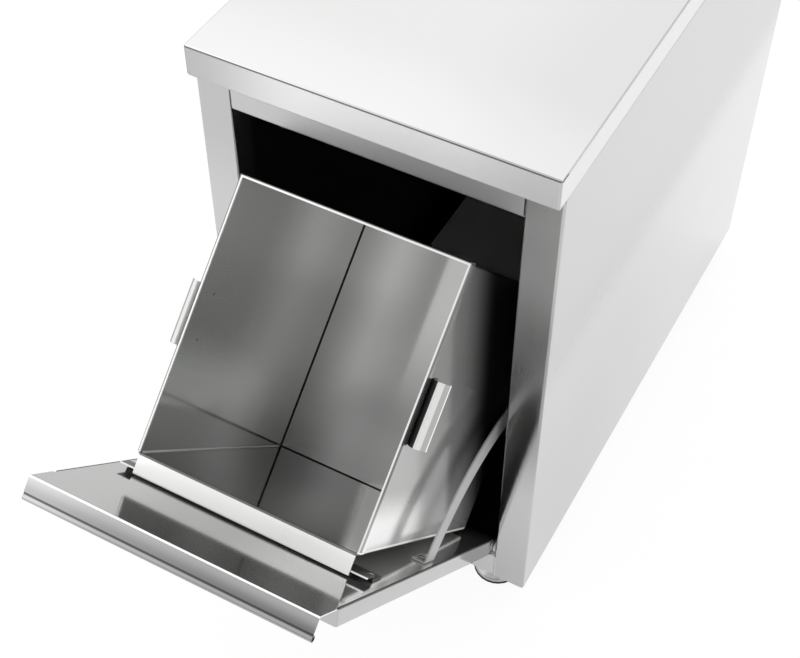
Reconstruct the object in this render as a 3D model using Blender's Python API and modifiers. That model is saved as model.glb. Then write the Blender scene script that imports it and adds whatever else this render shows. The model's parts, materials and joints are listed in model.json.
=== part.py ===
"""Tilt-out waste bin cabinet in folded stainless steel, with the door resting open.

Metres, +Z up. The cabinet stands on z = 0 and opens towards -Y. Cabinet pieces are drawn with y
measured from the worktop's front edge. Door pieces are drawn as if the door were shut, with the hinge
axis as their origin: y runs inward through the door and z up along it. Bin pieces are drawn from the
lower front edge of the bin. Empties then put the door and the bin in their open places.
"""
from math import asin, cos, pi, radians, sin, sqrt

import bmesh
import bpy
from mathutils import Matrix, Vector

# Overall
WIDTH = 0.320
DEPTH = 0.580
HEIGHT = 0.570
SHEET = 0.0012
CLEARANCE = 0.0003
BEND_RADIUS = 0.0022
BEND_STEPS = 2
ROUND_STEPS = 24

# Worktop
TOP_SHEET = 0.0015
TOP_EDGE = 0.030
TOP_RETURN = 0.012
FRONT_OVERHANG = 0.0111

# Carcass
BASE_HEIGHT = 0.023
POST_WIDTH = 0.032
POST_RETURN = 0.024
SIDE_FLANGE = 0.015
FLANGE_RELIEF = 0.003
TOP_RAIL_HEIGHT = 0.030
BOTTOM_RAIL_HEIGHT = 0.032
RAIL_RETURN = 0.016
STOP_EDGE = 0.015
FLOOR_EDGE = 0.020

# Fasteners of the back panel
RIVET_HEAD = 0.004
RIVET_HEAD_HEIGHT = 0.0012
RIVET_SHANK = 0.002
RIVET_TAIL = 0.003
RIVETS_PER_SIDE = 4
RIVET_END_MARGIN = 0.050

# Levelling feet
FOOT_FROM_SIDE = 0.0395
FOOT_FROM_FRAME = 0.0267
FOOT_RADIUS = 0.0226
SOLE_RADIUS = 0.0233
SOLE_HEIGHT = 0.0025
FOOT_DISC_HEIGHT = 0.005
FOOT_HUB_RADIUS = 0.010
FOOT_CONE_HEIGHT = 0.006
STEM_RADIUS = 0.004
STEM_ABOVE_NUT = 0.012
NUT_RADIUS = 0.0068
NUT_HEIGHT = 0.008

# Door
DOOR_OPEN = radians(45)
DOOR_SIDE_GAP = 0.0027
DOOR_THICKNESS = 0.0183
DOOR_SHEET = 0.001
HINGE_BEHIND_FRAME = 0.0044
HINGE_ABOVE_RAIL = 0.0125
SKIN_BEHIND_HINGE = 0.0079
PAN_BELOW_HINGE = 0.0025
PAN_SLANT = 0.0118
FINGER_GAP = 0.034
LIP_BELOW_RAIL = 0.0057
LIP_DEPTH = 0.0132
BEAD_RADIUS = 0.0027
BEAD_TURN = radians(290)
BEAD_STEPS = 8
CORNER_NOTCH = 0.003

# Hinge
PIN_RADIUS = 0.002
PIN_HEAD_LENGTH = 0.003
PIN_INSIDE_DOOR = 0.007
BUSH_WALL = 0.0008
BUSH_FLANGE_RADIUS = 0.0055
EAR_RADIUS = 0.0075
EAR_INSET = 0.0001

# Rubber bumpers for the shut door
BUMPER_RADIUS = 0.003
BUMPER_HEIGHT = 0.003
BUMPER_FROM_POST = 0.038

# Bin
BIN_FROM_DOOR_SIDE = 0.0236
BIN_DEPTH = 0.2377
BIN_HEIGHT = 0.2875
BIN_SHEET = 0.0012
BIN_BEND = 0.0016
BIN_RIM_GAP = 0.0186
BIN_FOOT_GAP = 0.0033
BIN_ABOVE_HINGE = 0.0402
BIN_LIP = 0.0172
BIN_HOOK = 0.010
BIN_HEM = 0.0017
BIN_HEM_DROP = 0.008

# Bin handles: a flange on the wall, a web rising to the ridge and a lip sloping down
HANDLE_LENGTH = 0.0545
HANDLE_SHEET = 0.0012
HANDLE_BEND = 0.003
HANDLE_FLANGE_LOW = 0.026
HANDLE_FLANGE_HIGH = 0.013
HANDLE_RIDGE_OUT = 0.0085
HANDLE_RIDGE_DROP = 0.0045
HANDLE_LIP_OUT = 0.016
HANDLE_LIP_DROP = 0.0155

# Rail that carries the bin
RAIL_SHEET = 0.0012
RAIL_FROM_DOOR_SIDE = 0.0106
RAIL_STANDOFF = 0.006
RAIL_FLANGE = 0.0145
RAIL_FOOT = 0.021
RAIL_SCREW_END = 0.0062

# Buffers under the bin's lower front edge
BUFFER_RADIUS = 0.007
BUFFER_FROM_BIN_SIDE = 0.0317
BUFFER_ABOVE_BIN_EDGE = 0.009

# Stay arms
ARM_SHEET = 0.0015
ARM_FROM_DOOR_SIDE = 0.0053
ARM_CENTRE_UP = 0.0079
ARM_CENTRE_OUT = 0.0147
ARM_OUTER_RADIUS = 0.194
ARM_WIDTH = 0.0223
ARM_FOOT = 0.013
ARM_TAB = 0.016
ARM_STEPS = 16

# Screws on the rail and the arms
SCREW_HEAD = 0.0034
SCREW_HEAD_HEIGHT = 0.0010
SCREW_SHANK = 0.0016
SCREW_LENGTH = 0.006

# Places worked out from the sizes above
HALF_WIDTH = WIDTH / 2
FRAME_Y = FRONT_OVERHANG
CARCASS_TOP = HEIGHT - TOP_EDGE - CLEARANCE
OPENING_HALF = HALF_WIDTH - POST_WIDTH
OPENING_TOP = HEIGHT - TOP_EDGE - TOP_RAIL_HEIGHT
OPENING_BOTTOM = BASE_HEIGHT + BOTTOM_RAIL_HEIGHT
POST_BACK = FRAME_Y + POST_RETURN
BACK_OUTER = DEPTH - SHEET - CLEARANCE
BACK_INNER = BACK_OUTER - SHEET
FLOOR_Z = BASE_HEIGHT + SHEET + CLEARANCE
HINGE_Y = FRAME_Y + HINGE_BEHIND_FRAME
HINGE_Z = OPENING_BOTTOM + HINGE_ABOVE_RAIL
PIN_HEAD_RADIUS = HINGE_BEHIND_FRAME - SHEET - 2 * CLEARANCE
DOOR_HALF = OPENING_HALF - DOOR_SIDE_GAP
SKIN_HALF = DOOR_HALF - DOOR_SHEET - CLEARANCE
RAIL_HALF = DOOR_HALF - RAIL_FROM_DOOR_SIDE
BIN_HALF = DOOR_HALF - BIN_FROM_DOOR_SIDE
BUFFER_X = BIN_HALF - BUFFER_FROM_BIN_SIDE
BUMPER_X = OPENING_HALF - BUMPER_FROM_POST
LIP_Z = OPENING_TOP - LIP_BELOW_RAIL - HINGE_Z
DOOR_OUTER = SKIN_BEHIND_HINGE - DOOR_THICKNESS
PAN_TOP = LIP_Z - FINGER_GAP
BIN_LEAN = asin((BIN_RIM_GAP - BIN_FOOT_GAP) / BIN_HEIGHT)
BIN_FRONT = SKIN_BEHIND_HINGE + BIN_FOOT_GAP
STOP_Y = HINGE_Y + SKIN_BEHIND_HINGE + BUMPER_HEIGHT + 2 * CLEARANCE
BUMPER_Z = HINGE_Z + LIP_Z - BEND_RADIUS - BUMPER_RADIUS
ARM_INNER_RADIUS = ARM_OUTER_RADIUS - ARM_WIDTH
ARM_X = DOOR_HALF - ARM_FROM_DOOR_SIDE
RAIL_TOP = SKIN_BEHIND_HINGE + RAIL_STANDOFF
FOOT_X = HALF_WIDTH - FOOT_FROM_SIDE
FOOT_FRONT_Y = FRAME_Y + FOOT_FROM_FRAME
FOOT_BACK_Y = DEPTH - FOOT_FROM_FRAME

SIDES = {"left": -1, "right": 1}


def open_door(y, z):
    """Cabinet y and z of a door point, with the door at rest in its open place."""
    return (HINGE_Y + y * cos(DOOR_OPEN) - z * sin(DOOR_OPEN),
            HINGE_Z + y * sin(DOOR_OPEN) + z * cos(DOOR_OPEN))


def bin_in_door(y, z):
    """Door y and z of a bin point, with the bin hanging on its rail."""
    return (BIN_FRONT + y * cos(BIN_LEAN) + z * sin(BIN_LEAN),
            BIN_ABOVE_HINGE - y * sin(BIN_LEAN) + z * cos(BIN_LEAN))


FRONT_REACH = open_door(SKIN_BEHIND_HINGE - LIP_DEPTH, LIP_Z - BEAD_RADIUS)[0] - BEAD_RADIUS
BACK_REACH = DEPTH + CLEARANCE + RIVET_HEAD_HEIGHT
ORIGIN_Y = (FRONT_REACH + BACK_REACH) / 2
RAIL_EDGE = bin_in_door(-BIN_LIP / 2, BIN_HEIGHT - BIN_SHEET)[1] - CLEARANCE
RAIL_WEB = RAIL_EDGE - RAIL_FLANGE
RAIL_END = RAIL_WEB - RAIL_FOOT


def along_x(a, b, t):
    return Vector((t, a, b))


def along_y(a, b, t):
    return Vector((a, t, b))


def along_z(a, b, t):
    return Vector((a, b, t))


def clear_scene():
    for obj in list(bpy.data.objects):
        bpy.data.objects.remove(obj)


def make_collection(name):
    collection = bpy.data.collections.new(name)
    bpy.context.scene.collection.children.link(collection)
    return collection


def make_material(name, colour, roughness, metallic):
    material = bpy.data.materials.new(name)
    material.use_nodes = True
    shader = material.node_tree.nodes["Principled BSDF"]
    shader.inputs["Base Color"].default_value = (*colour, 1.0)
    shader.inputs["Roughness"].default_value = roughness
    shader.inputs["Metallic"].default_value = metallic
    return material


clear_scene()
PARTS = make_collection("waste_bin_cabinet")
CUTTERS = make_collection("cutters")

STEEL = make_material("brushed_steel", (0.66, 0.66, 0.65), 0.28, 1.0)
BRIGHT_STEEL = make_material("bright_steel", (0.70, 0.70, 0.69), 0.18, 1.0)
RUBBER = make_material("black_rubber", (0.03, 0.03, 0.03), 0.75, 0.0)
NYLON = make_material("white_nylon", (0.80, 0.79, 0.75), 0.45, 0.0)
FOOT_GREY = make_material("grey_foot", (0.45, 0.45, 0.45), 0.35, 1.0)


def make_empty(name, parent, location, turn):
    empty = bpy.data.objects.new(name, None)
    empty.location = location
    empty.rotation_euler = (turn, 0, 0)
    empty.parent = parent
    PARTS.objects.link(empty)
    return empty


def finish_mesh(bm, name):
    mesh = bpy.data.meshes.new(name)
    bm.to_mesh(mesh)
    bm.free()
    return mesh


def add_part(name, mesh, material, parent):
    part = bpy.data.objects.new(name, mesh)
    mesh.materials.append(material)
    mesh.shade_smooth()
    mesh.set_sharp_from_angle(angle=radians(35))
    part.parent = parent
    PARTS.objects.link(part)
    return part


def add_cutter(name, mesh, parent):
    cutter = bpy.data.objects.new(name, mesh)
    cutter.parent = parent
    cutter.hide_render = True
    cutter.display_type = "WIRE"
    CUTTERS.objects.link(cutter)
    return cutter


def mirrored(mesh):
    copy = mesh.copy()
    copy.materials.clear()
    copy.transform(Matrix.Scale(-1, 4, (1, 0, 0)))
    copy.flip_normals()
    return copy


def give_thickness(part, thickness):
    solidify = part.modifiers.new("sheet", "SOLIDIFY")
    solidify.thickness = thickness
    solidify.offset = -1
    solidify.solidify_mode = "NON_MANIFOLD"
    solidify.nonmanifold_thickness_mode = "CONSTRAINTS"


def combine(part, other, operation):
    boolean = part.modifiers.new(operation.lower(), "BOOLEAN")
    boolean.operation = operation
    boolean.object = other


def box(low, high):
    bm = bmesh.new()
    size = Vector(high) - Vector(low)
    middle = (Vector(high) + Vector(low)) / 2
    place = Matrix.Translation(middle) @ Matrix.Diagonal((*size, 1))
    bmesh.ops.create_cube(bm, size=1, matrix=place)
    return bm


def face_towards(bm, direction):
    return max(bm.faces, key=lambda face: face.normal.dot(Vector(direction)))


def bend_folds(bm, radius):
    folds = []
    for edge in bm.edges:
        if len(edge.link_faces) == 2 and edge.calc_face_angle() > radians(45):
            folds.append(edge)
    bmesh.ops.bevel(bm, geom=folds, offset=radius, offset_type="OFFSET", affect="EDGES",
                    segments=BEND_STEPS, profile=0.5, material=-1)


def folded_strip(corners, low, high, place, radius):
    """An open sheet folded at its corners. Its thickness goes to the left of the path."""
    bm = bmesh.new()
    chain = [bm.verts.new(place(a, b, low)) for a, b in corners]
    edges = [bm.edges.new(pair) for pair in zip(chain, chain[1:])]
    grown = bmesh.ops.extrude_edge_only(bm, edges=edges)["geom"]
    far_side = [item for item in grown if isinstance(item, bmesh.types.BMVert)]
    bmesh.ops.translate(bm, verts=far_side, vec=place(0, 0, high - low))
    bmesh.ops.recalc_face_normals(bm, faces=bm.faces)
    step_a = corners[1][0] - corners[0][0]
    step_b = corners[1][1] - corners[0][1]
    thick_side = place(-step_b, step_a, 0)
    if chain[0].link_faces[0].normal.dot(thick_side) > 0:
        bmesh.ops.reverse_faces(bm, faces=bm.faces)
    bend_folds(bm, radius)
    return bm


def cylinder_mesh(name, radius, length, centres, turn):
    """One or more cylinders, turned from the Z axis by a matrix and put at their centres."""
    bm = bmesh.new()
    for centre in centres:
        place = Matrix.Translation(centre) @ turn
        bmesh.ops.create_cone(bm, cap_ends=True, segments=ROUND_STEPS, radius1=radius, radius2=radius,
                              depth=length, matrix=place)
    return finish_mesh(bm, name)


def add_stud(name, head_radius, head_height, shank_radius, shank_length, parent):
    """A headed pin: its head stands on z = 0 and its shank goes down from there."""
    bm = bmesh.new()
    lifted = Matrix.Translation((0, 0, head_height / 2))
    bmesh.ops.create_cone(bm, cap_ends=True, segments=ROUND_STEPS, radius1=head_radius,
                          radius2=head_radius, depth=head_height, matrix=lifted)
    underside = face_towards(bm, (0, 0, -1))
    bmesh.ops.inset_individual(bm, faces=[underside], thickness=head_radius - shank_radius)
    end = bmesh.ops.extrude_discrete_faces(bm, faces=[underside])["faces"][0]
    bmesh.ops.translate(bm, verts=end.verts, vec=(0, 0, -shank_length))
    return add_part(name, finish_mesh(bm, name), BRIGHT_STEEL, parent)


def turned_part(name, profile, closed, material, parent):
    """A profile of radius and height, turned about the Z axis."""
    bm = bmesh.new()
    chain = [bm.verts.new((radius, 0, height)) for radius, height in profile]
    pairs = list(zip(chain, chain[1:]))
    if closed:
        pairs.append((chain[-1], chain[0]))
    for pair in pairs:
        bm.edges.new(pair)
    part = add_part(name, finish_mesh(bm, name), material, parent)
    screw = part.modifiers.new("turn", "SCREW")
    screw.axis = "Z"
    screw.steps = ROUND_STEPS
    screw.render_steps = ROUND_STEPS
    screw.use_merge_vertices = True
    screw.merge_threshold = 0.00001
    return part


TURN_TO_X = Matrix.Rotation(pi / 2, 4, "Y")
TURN_TO_Y = Matrix.Rotation(-pi / 2, 4, "X")
FACING_BACK = (-pi / 2, 0, 0)
FACING_FRONT = (pi / 2, 0, 0)


def make_worktop(root):
    bm = box((-HALF_WIDTH, 0, HEIGHT - TOP_EDGE), (HALF_WIDTH, DEPTH, HEIGHT))
    underside = face_towards(bm, (0, 0, -1))
    bmesh.ops.inset_region(bm, faces=[underside], thickness=TOP_RETURN)
    bmesh.ops.delete(bm, geom=[underside], context="FACES_ONLY")
    bend_folds(bm, BEND_RADIUS)
    worktop = add_part("worktop", finish_mesh(bm, "worktop"), STEEL, root)
    give_thickness(worktop, TOP_SHEET)


def add_side_flanges(bm):
    """Fold a flange inward along the top and the bottom of the wall, short of its bends."""
    bm.normal_update()
    for end in (FRAME_Y + BEND_RADIUS + FLANGE_RELIEF, DEPTH - BEND_RADIUS - FLANGE_RELIEF):
        wall = max(bm.faces, key=lambda face: face.normal.x * face.calc_area())
        bmesh.ops.bisect_plane(bm, geom=[wall, *wall.edges, *wall.verts], plane_co=(0, end, 0),
                               plane_no=(0, 1, 0))
    wall = max(bm.faces, key=lambda face: face.normal.x * face.calc_area())
    for level in (BASE_HEIGHT, CARCASS_TOP):
        edges = [edge for edge in wall.edges
                 if all(abs(vert.co.z - level) < CLEARANCE for vert in edge.verts)]
        grown = bmesh.ops.extrude_edge_only(bm, edges=edges)["geom"]
        verts = [item for item in grown if isinstance(item, bmesh.types.BMVert)]
        bmesh.ops.translate(bm, verts=verts, vec=(-SIDE_FLANGE, 0, 0))
    bmesh.ops.recalc_face_normals(bm, faces=bm.faces)
    if wall.normal.x < 0:
        bmesh.ops.reverse_faces(bm, faces=bm.faces)


def rivet_seats(side):
    low = BASE_HEIGHT + RIVET_END_MARGIN
    step = (CARCASS_TOP - RIVET_END_MARGIN - low) / (RIVETS_PER_SIDE - 1)
    x = side * (HALF_WIDTH - SIDE_FLANGE / 2)
    return [Vector((x, DEPTH + CLEARANCE, low + step * number)) for number in range(RIVETS_PER_SIDE)]


def make_side_panels(root):
    corners = [
        (OPENING_HALF, POST_BACK),
        (OPENING_HALF, FRAME_Y),
        (HALF_WIDTH, FRAME_Y),
        (HALF_WIDTH, DEPTH),
        (HALF_WIDTH - SIDE_FLANGE, DEPTH),
    ]
    bm = folded_strip(corners, BASE_HEIGHT, CARCASS_TOP, along_z, BEND_RADIUS)
    add_side_flanges(bm)
    right = finish_mesh(bm, "right_side_panel")
    for name, side in SIDES.items():
        mesh = right if side > 0 else mirrored(right)
        panel = add_part(name + "_side_panel", mesh, STEEL, root)
        give_thickness(panel, SHEET)
        holes = cylinder_mesh("rivet_holes_" + name, RIVET_SHANK + CLEARANCE, 4 * SIDE_FLANGE,
                              rivet_seats(side), TURN_TO_Y)
        combine(panel, add_cutter(holes.name, holes, root), "DIFFERENCE")
        pin_hole = cylinder_mesh("pin_hole_" + name, PIN_RADIUS + CLEARANCE, POST_WIDTH / 2,
                                 [Vector((side * OPENING_HALF, HINGE_Y, HINGE_Z))], TURN_TO_X)
        combine(panel, add_cutter(pin_hole.name, pin_hole, root), "DIFFERENCE")


def make_back_panel(root):
    half = HALF_WIDTH - BEND_RADIUS
    inset = SHEET + CLEARANCE
    bm = box((-half, BACK_INNER, BASE_HEIGHT + inset), (half, BACK_OUTER, CARCASS_TOP - inset))
    panel = add_part("back_panel", finish_mesh(bm, "back_panel"), STEEL, root)
    seats = rivet_seats(-1) + rivet_seats(1)
    holes = cylinder_mesh("rivet_holes_back", RIVET_SHANK + CLEARANCE, 4 * SIDE_FLANGE, seats, TURN_TO_Y)
    combine(panel, add_cutter("rivet_holes_back", holes, root), "DIFFERENCE")
    shank = CLEARANCE + DEPTH - BACK_INNER + RIVET_TAIL
    for number, seat in enumerate(seats, start=1):
        rivet = add_stud(f"back_rivet_{number}", RIVET_HEAD, RIVET_HEAD_HEIGHT, RIVET_SHANK, shank, root)
        rivet.location = seat
        rivet.rotation_euler = FACING_BACK


def foot_places():
    return {
        "front_left": (-FOOT_X, FOOT_FRONT_Y),
        "front_right": (FOOT_X, FOOT_FRONT_Y),
        "back_left": (-FOOT_X, FOOT_BACK_Y),
        "back_right": (FOOT_X, FOOT_BACK_Y),
    }


def make_floor_panel(root):
    half = HALF_WIDTH - SHEET - CLEARANCE
    front = FRAME_Y + SHEET + CLEARANCE
    back = BACK_INNER - CLEARANCE
    bm = box((-half, front, FLOOR_Z), (half, back, FLOOR_Z + FLOOR_EDGE))
    bmesh.ops.delete(bm, geom=[face_towards(bm, (0, 0, 1))], context="FACES_ONLY")
    bend_folds(bm, BEND_RADIUS)
    floor = add_part("floor_panel", finish_mesh(bm, "floor_panel"), STEEL, root)
    give_thickness(floor, SHEET)
    notch_x = OPENING_HALF - CLEARANCE
    notch_back = POST_BACK + CLEARANCE
    for name, side in SIDES.items():
        reach = sorted((side * notch_x, side * WIDTH))
        notch = box((reach[0], -notch_back, 0), (reach[1], notch_back, FLOOR_Z + 2 * FLOOR_EDGE))
        cutter = add_cutter("post_notch_" + name, finish_mesh(notch, "post_notch_" + name), root)
        combine(floor, cutter, "DIFFERENCE")
    centres = [Vector((x, y, FLOOR_Z)) for x, y in foot_places().values()]
    holes = cylinder_mesh("stem_holes", STEM_RADIUS + 2 * CLEARANCE, FLOOR_EDGE, centres, Matrix())
    combine(floor, add_cutter("stem_holes", holes, root), "DIFFERENCE")


def make_frame_rails(root):
    half = OPENING_HALF - CLEARANCE
    top_corners = [
        (FRAME_Y + RAIL_RETURN, CARCASS_TOP),
        (FRAME_Y, CARCASS_TOP),
        (FRAME_Y, OPENING_TOP),
        (STOP_Y, OPENING_TOP),
        (STOP_Y, OPENING_TOP - STOP_EDGE),
    ]
    top_bm = folded_strip(top_corners, -half, half, along_x, BEND_RADIUS)
    top = add_part("top_rail", finish_mesh(top_bm, "top_rail"), STEEL, root)
    give_thickness(top, SHEET)
    bottom_corners = [
        (FRAME_Y + RAIL_RETURN, OPENING_BOTTOM),
        (FRAME_Y, OPENING_BOTTOM),
        (FRAME_Y, BASE_HEIGHT),
        (FRAME_Y + RAIL_RETURN, BASE_HEIGHT),
    ]
    bottom_bm = folded_strip(bottom_corners, -half, half, along_x, BEND_RADIUS)
    bottom = add_part("bottom_rail", finish_mesh(bottom_bm, "bottom_rail"), STEEL, root)
    give_thickness(bottom, SHEET)


def make_bumpers(root):
    """Rubber bumpers on the stop edge, where the shut door's skin meets them."""
    edge = BUMPER_RADIUS / 4
    profile = [
        (0, BUMPER_HEIGHT),
        (BUMPER_RADIUS - edge, BUMPER_HEIGHT),
        (BUMPER_RADIUS, BUMPER_HEIGHT - edge),
        (BUMPER_RADIUS, 0),
        (0, 0),
    ]
    for name, side in SIDES.items():
        bumper = turned_part("door_bumper_" + name, profile, False, RUBBER, root)
        bumper.location = (side * BUMPER_X, STOP_Y - CLEARANCE, BUMPER_Z)
        bumper.rotation_euler = FACING_FRONT


def make_feet(root):
    sole_edge = SOLE_HEIGHT / 3
    sole_profile = [
        (0, SOLE_HEIGHT),
        (SOLE_RADIUS - sole_edge, SOLE_HEIGHT),
        (SOLE_RADIUS, SOLE_HEIGHT - sole_edge),
        (SOLE_RADIUS, sole_edge),
        (SOLE_RADIUS - sole_edge, 0),
        (0, 0),
    ]
    disc_low = SOLE_HEIGHT + CLEARANCE
    disc_high = disc_low + FOOT_DISC_HEIGHT
    hub_top = BASE_HEIGHT - CLEARANCE
    nut_low = FLOOR_Z + SHEET + CLEARANCE
    stem_top = nut_low + NUT_HEIGHT + STEM_ABOVE_NUT
    tip = STEM_RADIUS / 4
    foot_profile = [
        (0, stem_top),
        (STEM_RADIUS - tip, stem_top),
        (STEM_RADIUS, stem_top - tip),
        (STEM_RADIUS, hub_top),
        (FOOT_HUB_RADIUS, hub_top),
        (FOOT_HUB_RADIUS, disc_high + FOOT_CONE_HEIGHT),
        (FOOT_RADIUS - FOOT_DISC_HEIGHT / 2, disc_high),
        (FOOT_RADIUS, disc_high - FOOT_DISC_HEIGHT / 2),
        (FOOT_RADIUS, disc_low),
        (0, disc_low),
    ]
    for name, (x, y) in foot_places().items():
        foot = turned_part("foot_" + name, foot_profile, False, FOOT_GREY, root)
        foot.location = (x, y, 0)
        sole = turned_part("foot_sole_" + name, sole_profile, False, RUBBER, root)
        sole.location = (x, y, 0)
        bm = bmesh.new()
        middle = Matrix.Translation((x, y, nut_low + NUT_HEIGHT / 2))
        bmesh.ops.create_cone(bm, cap_ends=True, segments=6, radius1=NUT_RADIUS, radius2=NUT_RADIUS,
                              depth=NUT_HEIGHT, matrix=middle)
        nut = add_part("foot_nut_" + name, finish_mesh(bm, "foot_nut_" + name), BRIGHT_STEEL, root)
        bore = cylinder_mesh("nut_bore_" + name, STEM_RADIUS + CLEARANCE, 2 * NUT_HEIGHT,
                             [middle.translation], Matrix())
        combine(nut, add_cutter(bore.name, bore, root), "DIFFERENCE")


def make_hinges(root, door):
    """A headed pin fixed in each post, and a flanged bush in the door's ear that turns on it."""
    pin_end = DOOR_HALF - DOOR_SHEET - PIN_INSIDE_DOOR
    head_seat = OPENING_HALF + SHEET + CLEARANCE
    bore = PIN_RADIUS + CLEARANCE
    outer = bore + BUSH_WALL
    bush_profile = [
        (outer, DOOR_SIDE_GAP - CLEARANCE),
        (BUSH_FLANGE_RADIUS, DOOR_SIDE_GAP - CLEARANCE),
        (BUSH_FLANGE_RADIUS, CLEARANCE),
        (outer, CLEARANCE),
        (outer, -DOOR_SHEET - PIN_INSIDE_DOOR / 2),
        (bore, -DOOR_SHEET - PIN_INSIDE_DOOR / 2),
        (bore, DOOR_SIDE_GAP - CLEARANCE),
    ]
    for name, side in SIDES.items():
        pin = add_stud("hinge_pin_" + name, PIN_HEAD_RADIUS, PIN_HEAD_LENGTH, PIN_RADIUS,
                       head_seat - pin_end, root)
        pin.location = (side * head_seat, HINGE_Y, HINGE_Z)
        pin.rotation_euler = (0, side * pi / 2, 0)
        bush = turned_part("hinge_bush_" + name, bush_profile, True, NYLON, door)
        bush.location = (side * DOOR_HALF, 0, 0)
        bush.rotation_euler = (0, side * pi / 2, 0)


def make_door_pan(door):
    """A sheared tray: both ends slant, and a round ear on each side carries the hinge."""
    bottom = -PAN_BELOW_HINGE
    top = PAN_TOP - PAN_SLANT
    bm = box((-DOOR_HALF, DOOR_OUTER, bottom), (DOOR_HALF, SKIN_BEHIND_HINGE, top))
    for vert in bm.verts:
        vert.co.z += PAN_SLANT * (vert.co.y - DOOR_OUTER) / DOOR_THICKNESS
    bmesh.ops.delete(bm, geom=[face_towards(bm, (0, 1, 0))], context="FACES_ONLY")
    bend_folds(bm, BEND_RADIUS)
    pan = add_part("door_outer_pan", finish_mesh(bm, "door_outer_pan"), STEEL, door)
    give_thickness(pan, DOOR_SHEET)
    for name, side in SIDES.items():
        centre = [Vector((side * (DOOR_HALF - DOOR_SHEET / 2), 0, 0))]
        ear = cylinder_mesh("hinge_ear_" + name, EAR_RADIUS, DOOR_SHEET - 2 * EAR_INSET, centre, TURN_TO_X)
        combine(pan, add_cutter(ear.name, ear, door), "UNION")
        hole_radius = PIN_RADIUS + BUSH_WALL + 2 * CLEARANCE
        hole = cylinder_mesh("ear_hole_" + name, hole_radius, 4 * PIN_INSIDE_DOOR, centre, TURN_TO_X)
        combine(pan, add_cutter(hole.name, hole, door), "DIFFERENCE")
    seat = SKIN_BEHIND_HINGE - DOOR_SHEET - CLEARANCE
    inner = DOOR_HALF - DOOR_SHEET
    slot = box((-inner, seat, -LIP_Z), (inner, 2 * DOOR_THICKNESS, 2 * LIP_Z))
    combine(pan, add_cutter("skin_seat", finish_mesh(slot, "skin_seat"), door), "DIFFERENCE")


def screw_seats():
    """Screw places on the rail's foot and on the feet of the arms, in the door's frame."""
    rail_y = SKIN_BEHIND_HINGE + RAIL_SHEET + 2 * CLEARANCE
    rail_z = RAIL_WEB - RAIL_FOOT / 2
    rail_x = RAIL_HALF - RAIL_SCREW_END
    rail = [Vector((x, rail_y, rail_z)) for x in (-rail_x, 0, rail_x)]
    arm_y = SKIN_BEHIND_HINGE + ARM_SHEET + 2 * CLEARANCE
    arm_z = ARM_CENTRE_UP + ARM_OUTER_RADIUS - ARM_WIDTH / 2
    arm_x = ARM_X - (ARM_FOOT + ARM_SHEET) / 2
    arms = [Vector((side * arm_x, arm_y, arm_z)) for side in SIDES.values()]
    return rail, arms


def screw_holes(name, seats, door):
    holes = cylinder_mesh(name, SCREW_SHANK + CLEARANCE, 4 * SCREW_LENGTH, seats, TURN_TO_Y)
    return add_cutter(name, holes, door)


def add_screw(name, seat, door):
    screw = add_stud(name, SCREW_HEAD, SCREW_HEAD_HEIGHT, SCREW_SHANK, SCREW_LENGTH, door)
    screw.location = seat
    screw.rotation_euler = FACING_BACK


def make_door_skin(door):
    """The inner sheet, whose top edge is folded outward and ends in a rolled bead."""
    bead_y = SKIN_BEHIND_HINGE - LIP_DEPTH
    bead_z = LIP_Z - BEAD_RADIUS
    start = PAN_SLANT - PAN_BELOW_HINGE
    corners = [(SKIN_BEHIND_HINGE, start), (SKIN_BEHIND_HINGE, LIP_Z)]
    for step in range(BEAD_STEPS + 1):
        angle = pi / 2 + BEAD_TURN * step / BEAD_STEPS
        corners.append((bead_y + BEAD_RADIUS * cos(angle), bead_z + BEAD_RADIUS * sin(angle)))
    bm = folded_strip(corners, -DOOR_HALF, DOOR_HALF, along_x, BEND_RADIUS)
    skin = add_part("door_inner_skin", finish_mesh(bm, "door_inner_skin"), STEEL, door)
    give_thickness(skin, DOOR_SHEET)
    for name, side in SIDES.items():
        reach = sorted((side * SKIN_HALF, side * WIDTH))
        trim = box((reach[0], -DOOR_THICKNESS, -LIP_Z), (reach[1], DOOR_THICKNESS, PAN_TOP + CORNER_NOTCH))
        cutter = add_cutter("skin_trim_" + name, finish_mesh(trim, "skin_trim_" + name), door)
        combine(skin, cutter, "DIFFERENCE")
    rail, arms = screw_seats()
    combine(skin, screw_holes("skin_screw_holes", rail + arms, door), "DIFFERENCE")


def make_bin_rail(door):
    """A Z-shaped strip: its foot is screwed to the skin and its free edge carries the bin's hook."""
    low = SKIN_BEHIND_HINGE + CLEARANCE
    high = RAIL_TOP - RAIL_SHEET
    corners = [(high, RAIL_EDGE), (high, RAIL_WEB), (low, RAIL_WEB), (low, RAIL_END)]
    bm = folded_strip(corners, -RAIL_HALF, RAIL_HALF, along_x, RAIL_SHEET)
    rail = add_part("bin_rail", finish_mesh(bm, "bin_rail"), STEEL, door)
    give_thickness(rail, RAIL_SHEET)
    seats = screw_seats()[0]
    combine(rail, screw_holes("rail_screw_holes", seats, door), "DIFFERENCE")
    for name, seat in zip(("left", "middle", "right"), seats):
        add_screw("rail_screw_" + name, seat, door)


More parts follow.
